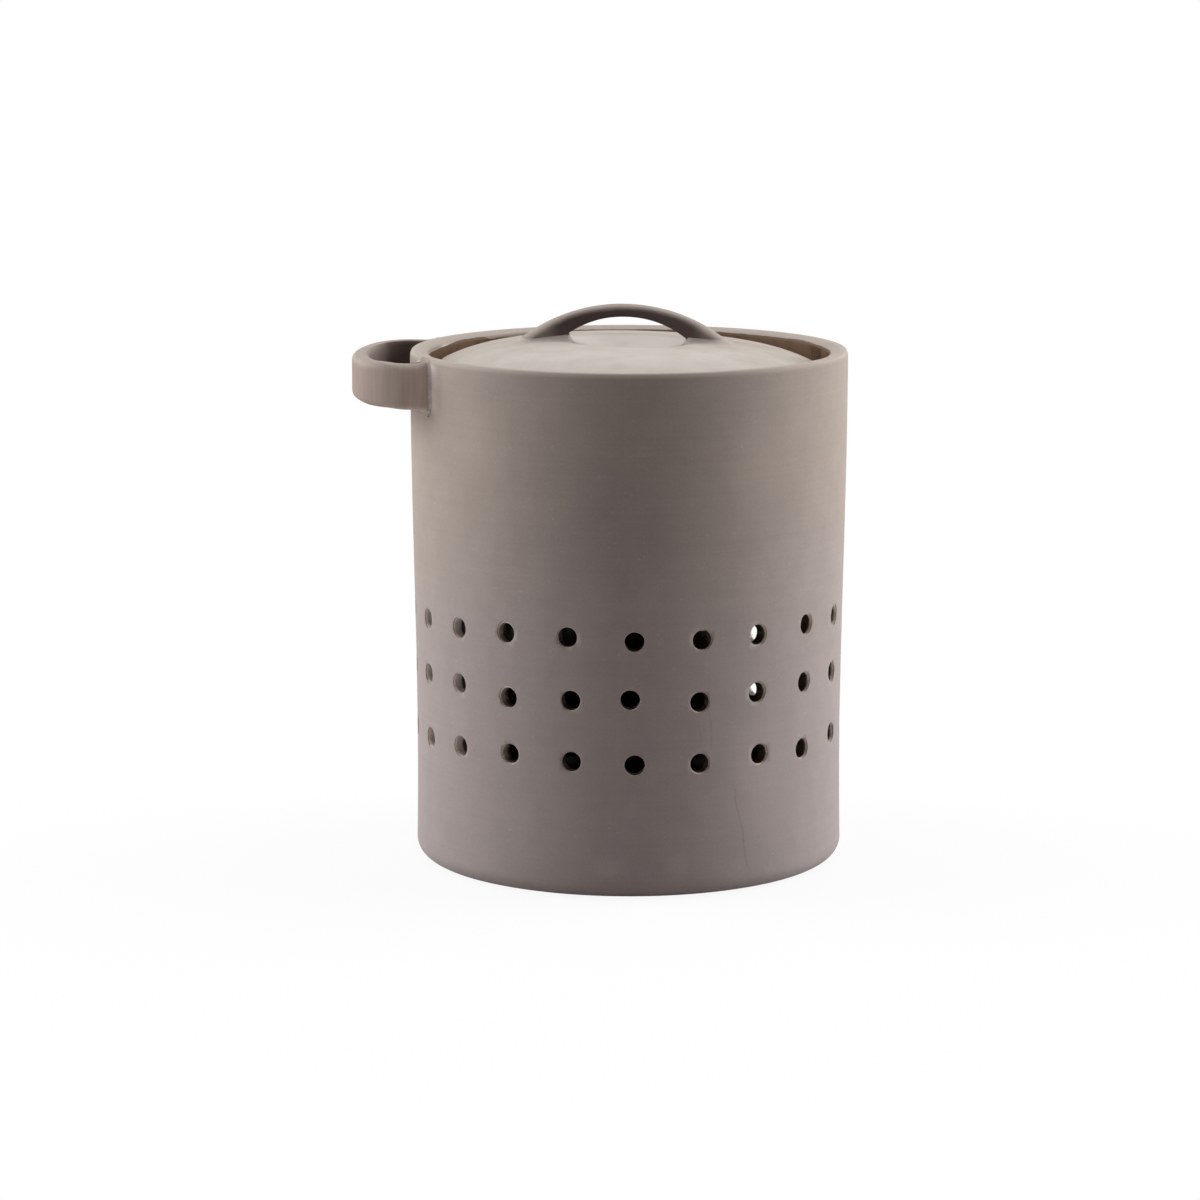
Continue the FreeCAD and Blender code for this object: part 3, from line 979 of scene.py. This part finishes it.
def closed_skin(name, rings, material, capped=True, inner=NONE):
    """A skin through rings of points, closed by caps or by joining its last ring to its first.

    inner says for each point of a ring how near the strap's inner face it is, from 0 to 1.
    """
    count = len(rings[0])
    points = [p for ring in rings for p in ring]
    spans = len(rings) - 1 if capped else len(rings)
    faces = []
    for i in range(spans):
        here = i * count
        there = (i + 1) % len(rings) * count
        for j in range(count):
            k = (j + 1) % count
            faces.append((here + j, here + k, there + k, there + j))
    if capped:
        faces.append(tuple(range(count)))
        faces.append(tuple(range((len(rings) - 1) * count, len(rings) * count)))
    piece = new_piece(name, points, faces=faces)
    face_outwards(piece.data)
    piece.data.shade_smooth()
    piece.data.materials.append(material)
    if inner:
        shares = piece.data.attributes.new("inner", "FLOAT", "POINT")
        for i in range(len(points)):
            shares.data[i].value = inner[i % count]
    print(name, "->", len(faces), "faces")
    return piece


def face_outwards(mesh):
    """Turns every face of a closed mesh outwards."""
    shell = bmesh.new()
    shell.from_mesh(mesh)
    bmesh.ops.recalc_face_normals(shell, faces=shell.faces)
    shell.to_mesh(mesh)
    shell.free()


def soften(piece, depth, size):
    """Presses a mesh in a little here and there, as fingers do; depth and size in millimetres."""
    mesh = piece.data
    normals = [v.normal.copy() for v in mesh.vertices]
    for vertex, normal in zip(mesh.vertices, normals):
        press = 0.5 + 0.5 * noise.noise(vertex.co / (size * MM))
        vertex.co -= normal * (depth * MM * press)


print("helpers for straps ready")

# %% [markdown]
# ## Slip at the roots
# Where a strap is stuck on, slip is worked into the corner all round it. It is a ring of
# small hollow-faced beads. For every line that runs along the strap, the place where it
# leaves the surface is found; the bead reaches a little way up the strap and a little way
# out over the surface, more in some places than in others.

# %% Ring of slip
BEAD_PARTS = 6


def slip_ring(name, lines, level, settle, reach, climb, fill, material):
    """Slip round a strap whose lines rise out of a surface.

    level gives a point's height over the surface, and settle drops a point onto it. The
    bead goes out over the surface by reach and up the strap by climb times that. It is
    hollow where fill is small and flat where it is 1.
    """
    crossings = []
    for line in lines:
        for low, high in zip(line, line[1:]):
            if level(low) <= 0 < level(high):
                share = level(low) / (level(low) - level(high))
                crossings.append((low.lerp(high, share), (high - low).normalized()))
                break
    count = len(crossings)
    rings = []
    for j, (corner, along) in enumerate(crossings):
        ring_way = crossings[(j + 1) % count][0] - crossings[j - 1][0]
        outward = surface_normal(level, corner).cross(ring_way).normalized()
        if j == 0:
            centre = sum((c for c, _ in crossings), Vector()) / count
            side = 1 if outward.dot(corner - centre) > 0 else -1
        size = reach * (1 + 0.5 * noise.noise(corner * 0.35))
        up_strap = corner + along * size * climb
        over_surface = settle(corner + outward * side * size)
        bend = corner.lerp((up_strap + over_surface) / 2, fill)
        face = []
        for k in range(BEAD_PARTS + 1):
            t = k / BEAD_PARTS
            face.append(up_strap * (1 - t) ** 2 + bend * (2 * t * (1 - t)) + over_surface * t ** 2)
        buried = corner - (up_strap + over_surface - corner * 2) * 0.35
        rings.append(face + [buried])
    return closed_skin(name, rings, material, capped=False)


def surface_normal(level, point):
    """Direction in which the height over a surface grows."""
    small = 0.01
    steps = (Vector((small, 0, 0)), Vector((0, small, 0)), Vector((0, 0, small)))
    return Vector([level(point + s) - level(point - s) for s in steps]).normalized()


print("slip rings can be made")

# %% [markdown]
# ## The loop
# The loop leaves the wall on a tight curve, runs in one long curve across the front of its
# oval, and comes back the same way. It lies just below the rim, and it spreads a little
# where it was pressed on.

# %% Line of the loop
LOOP_HUB = Vector((-61.2, 17.8))
LOOP_TIGHT = 9.2
LOOP_BACK = Vector((-11.65, 0.0))
LOOP_WIDE = 61.85
LOOP_MEET = math.degrees(math.atan2(LOOP_HUB.y, LOOP_BACK.x - LOOP_HUB.x))
LOOP_ROOT = 150
LOOP_HALF = 2.4
LOOP_TOP_Z = RIM_Z - 0.9
LOOP_BOTTOM_Z = RIM_Z - 12.9
LOOP_SAG = 0.6


def loop_line():
    """Places on the loop's middle line in plan, and its outward direction at each."""
    line = []
    for angle in span(LOOP_ROOT, LOOP_MEET, 44):
        line.append((LOOP_HUB, LOOP_TIGHT, angle, 1))
    for angle in span(LOOP_MEET, -LOOP_MEET, 26)[1:-1]:
        line.append((LOOP_BACK, LOOP_WIDE, angle, 1))
    for angle in span(LOOP_MEET, LOOP_ROOT, 44):
        line.append((LOOP_HUB, LOOP_TIGHT, angle, -1))
    places = []
    for hub, radius, angle, side in line:
        out = Vector((-math.cos(math.radians(angle)), math.sin(math.radians(angle))))
        spot = hub + out * radius
        places.append((Vector((spot.x, side * spot.y, 0)), Vector((out.x, side * out.y, 0))))
    return places


def span(start, stop, count):
    """Evenly spaced numbers, with both ends."""
    return [start + (stop - start) * i / (count - 1) for i in range(count)]


def ease(value, low, high):
    """0 below low, 1 above high, and smooth between them."""
    share = min(1, max(0, (value - low) / (high - low)))
    return share * share * (3 - 2 * share)


print("loop line:", len(loop_line()), "places")

# %% Loop
loop_rings = []
for spot, out in loop_line():
    clear = max(0, math.hypot(spot.x, spot.y) - RIM_R)
    spread = math.exp(-clear / 1.8)
    near = ease(spot.x, -74, -60)
    sag = LOOP_SAG * ease(spot.x, -68, -60) if spot.y < 0 else 0
    top = LOOP_TOP_Z + 0.3 * near + 0.3 * spread - sag
    swell = 0.6 * near + 0.4 * ease(spot.x, -65, -60) + 1.1 * spread
    bottom = LOOP_BOTTOM_Z + 0.3 * ease(spot.x, -75, -70) - swell
    half = LOOP_HALF + 0.25 * spread
    section = strap_section(-half, half, bottom, top, 1.3, 1.8)
    loop_rings.append([spot + out * across + UP * up for across, up in section])
loop = closed_skin("loop_strap", loop_rings, LOOP_CLAY, inner=inner_shares(section))
soften(loop, 0.2, 9.0)


# %% Slip at the loop's roots
def over_pot(point):
    """Height of a point over the outside of the pot."""
    away = math.hypot(point.x, point.y)
    return max(away - wall_radius(point.z), point.z - RIM_Z)


def onto_pot(point):
    """The place on the pot's outside nearest to a point."""
    return point - surface_normal(over_pot, point) * over_pot(point)


def lines_of(rings):
    """Lines that run along a strap, one for each point of its section."""
    return [list(line) for line in zip(*rings)]


ROOT_BEAD = (1.3, 0.4, 1.0)
root_slips = [
    slip_ring("root_near", lines_of(loop_rings[::-1]), over_pot, onto_pot, *ROOT_BEAD, ROOT_SLIP),
    slip_ring("root_far", lines_of(loop_rings), over_pot, onto_pot, *ROOT_BEAD, ROOT_SLIP),
]


def joined(name, pieces):
    """Several meshes as one piece."""
    mesh = bpy.data.meshes.new(name)
    made = bmesh.new()
    for piece in pieces:
        made.from_mesh(piece.data)
    made.to_mesh(mesh)
    made.free()
    mesh.materials.append(pieces[0].data.materials[0])
    for piece in pieces:
        bpy.data.objects.remove(piece)
    result = bpy.data.objects.new(name, mesh)
    bpy.context.scene.collection.objects.link(result)
    return result


loop_slip = joined("loop_root_slip", root_slips)

# %% [markdown]
# ## The arch
# The arch is lower and longer than a half circle. Its outer face is one curve from end to
# end; its opening is a tighter one, so the strap grows thick towards its feet. Every
# section is a rounded rectangle between a point of the opening and a point of the outside.

# %% Line of the arch
ARCH_TOP = 152.5
ARCH_R = 46.3
ARCH_THIN = 3.1
ARCH_LEG_THICK = 4.0
ARCH_OPEN_R = 27.2
ARCH_OPEN_LEFT = -16.5
ARCH_OPEN_RIGHT = 15.4
ARCH_SHIFT = -1.4
ARCH_HALF_WIDE = 4.0
ARCH_FOOT_Z = 140.4
ARCH_LEAN = math.radians(1.0)
arch_out_hub = Vector((ARCH_SHIFT, ARCH_TOP - ARCH_R))
arch_in_hub = Vector((ARCH_SHIFT, ARCH_TOP - ARCH_THIN - ARCH_OPEN_R))


def outer_angle(point):
    """Angle from the top, about the outer curve's middle, in degrees."""
    return math.degrees(math.atan2(point.x - arch_out_hub.x, point.y - arch_out_hub.y))


def on_circle(hub, radius, angle):
    return hub + Vector((math.sin(math.radians(angle)), math.cos(math.radians(angle)))) * radius


def arch_pairs():
    """Pairs of points of the arch, (on its opening, on its outside), from left to right."""
    ends = (ARCH_OPEN_LEFT, ARCH_OPEN_RIGHT)
    first, last = [math.degrees(math.asin((x - arch_in_hub.x) / ARCH_OPEN_R)) for x in ends]
    left, right = [on_circle(arch_in_hub, ARCH_OPEN_R, angle) for angle in (first, last)]
    over_ends = [on_circle(arch_in_hub, ARCH_OPEN_R + ARCH_LEG_THICK, angle) for angle in (first, last)]
    first_out, last_out = [outer_angle(point) for point in over_ends]
    foot = math.degrees(math.acos((ARCH_FOOT_Z - arch_out_hub.y) / ARCH_R))
    pairs = []
    for t, angle in zip(span(0, 1, 14)[:-1], span(-foot, first_out, 14)):
        inner = Vector((left.x, ARCH_FOOT_Z)).lerp(left, t)
        pairs.append((inner, on_circle(arch_out_hub, ARCH_R, angle)))
    for inner_angle, angle in zip(span(first, last, 44), span(first_out, last_out, 44)):
        inner = on_circle(arch_in_hub, ARCH_OPEN_R, inner_angle)
        pairs.append((inner, on_circle(arch_out_hub, ARCH_R, angle)))
    for t, angle in zip(span(0, 1, 12)[1:], span(last_out, foot, 12)[1:]):
        inner = right.lerp(Vector((right.x, ARCH_FOOT_Z)), t)
        pairs.append((inner, on_circle(arch_out_hub, ARCH_R, angle)))
    return pairs


def leaned(point):
    """A point of the lid after the lid has leaned about its seat."""
    rise = point.z - SEAT_Z
    x = point.x * math.cos(ARCH_LEAN) + rise * math.sin(ARCH_LEAN)
    return Vector((x, point.y, SEAT_Z - point.x * math.sin(ARCH_LEAN) + rise * math.cos(ARCH_LEAN)))


print("arch line:", len(arch_pairs()), "pairs")

# %% Arch
arch_rings = []
for inner, outer in arch_pairs():
    thick = (outer - inner).length
    way = (outer - inner).normalized()
    foot = ease(abs(outer.x - ARCH_SHIFT), 14, 26)
    half = ARCH_HALF_WIDE + 0.8 * foot
    section = strap_section(0, thick, -half, half, 0.8, 1.3 + 1.4 * foot)
    ring = [Vector((inner.x + way.x * a, side, inner.y + way.y * a)) for a, side in section]
    arch_rings.append([leaned(p) for p in ring])
arch = closed_skin("lid_arch", arch_rings, ARCH_CLAY, inner=inner_shares(section))
soften(arch, 0.15, 8.0)


# %% Slip at the arch's feet
def over_lid(point):
    """Height of a point over the top of the lid."""
    across = point.x - ASIDE
    away = math.hypot(across, point.y)
    level = dish(away) if away < DISH_R else crown(away)
    return point.z - (level - across * LEAN)


def onto_lid(point):
    return Vector((point.x, point.y, point.z - over_lid(point)))


FOOT_BEAD = (1.8, 1.0, 0.3)
arch_lines = lines_of(arch_rings)
back_lines = [line[::-1] for line in arch_lines]
foot_slips = [
    slip_ring("foot_left", arch_lines, over_lid, onto_lid, *FOOT_BEAD, LID_CLAY),
    slip_ring("foot_right", back_lines, over_lid, onto_lid, *FOOT_BEAD, LID_CLAY),
]
arch_slip = joined("lid_arch_slip", foot_slips)

# %% [markdown]
# ## Crumbs of slip
# Slip that was not wiped off dries to pale crumbs along the loop's roots. A Geometry Nodes
# tool scatters small lumps over the ring of slip with a fixed seed.

# %% The tool that scatters crumbs
def crumb_tool():
    g, given = new_tool("scatter crumbs", {
        "Density": "Float", "Size": "Float", "Seed": "Int", "Material": "Material",
    })
    faces = {"Mesh": given["Geometry"], "Density": given["Density"], "Seed": given["Seed"]}
    spots = g.node("GeometryNodeDistributePointsOnFaces", NONE, faces)
    lump = g.node("GeometryNodeMeshIcoSphere", NONE, {"Radius": given["Size"], "Subdivisions": 2}, "Mesh")
    sizes = g.node("FunctionNodeRandomValue", {"data_type": "FLOAT_VECTOR"}, {
        "Min": (0.4, 0.4, 0.3), "Max": (1.5, 1.2, 0.8), "Seed": given["Seed"],
    })
    lumps = g.node("GeometryNodeInstanceOnPoints", NONE, {
        "Points": spots, "Instance": lump, "Rotation": spots.beside("Rotation"), "Scale": sizes,
    })
    both = g.node("GeometryNodeJoinGeometry")
    g.tree.links.new(given["Geometry"].socket, both.socket.node.inputs[0])
    g.tree.links.new(lumps.socket, both.socket.node.inputs[0])
    end_tool(g, both, given["Material"])
    return g.tree


use_tool(loop_slip, crumb_tool(), {"Density": 9.0e5, "Size": 0.22 * MM, "Seed": 11, "Material": ROOT_SLIP})

# %% [markdown]
# ## Onto the frame
# Every piece stands for its CAD node and rides on that node's body, so the lid's pieces
# lift off together and the pot's stay.

# %% Ride and replace
PIECES = (
    (pot, "pot", "pot_body", "stoneware"),
    (lining, "pot", "pot_glaze", "inner_glaze"),
    (loop, "pot", "pot_handle", "stoneware"),
    (loop_slip, "pot", "pot_handle_slip", "luting_slip"),
    (lid, "lid", "lid_plate", "stoneware"),
    (lid_lining, "lid", "lid_glaze", "inner_glaze"),
    (arch, "lid", "lid_handle", "stoneware"),
    (arch_slip, "lid", "lid_handle_slip", "luting_slip"),
)
SHARP = math.radians(50)
for piece, body, node, finish in PIECES:
    piece.data.shade_smooth()
    piece.data.set_sharp_from_angle(angle=SHARP)
    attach(piece, body)
    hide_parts(node)
print("pieces on the frame:", len(PIECES))
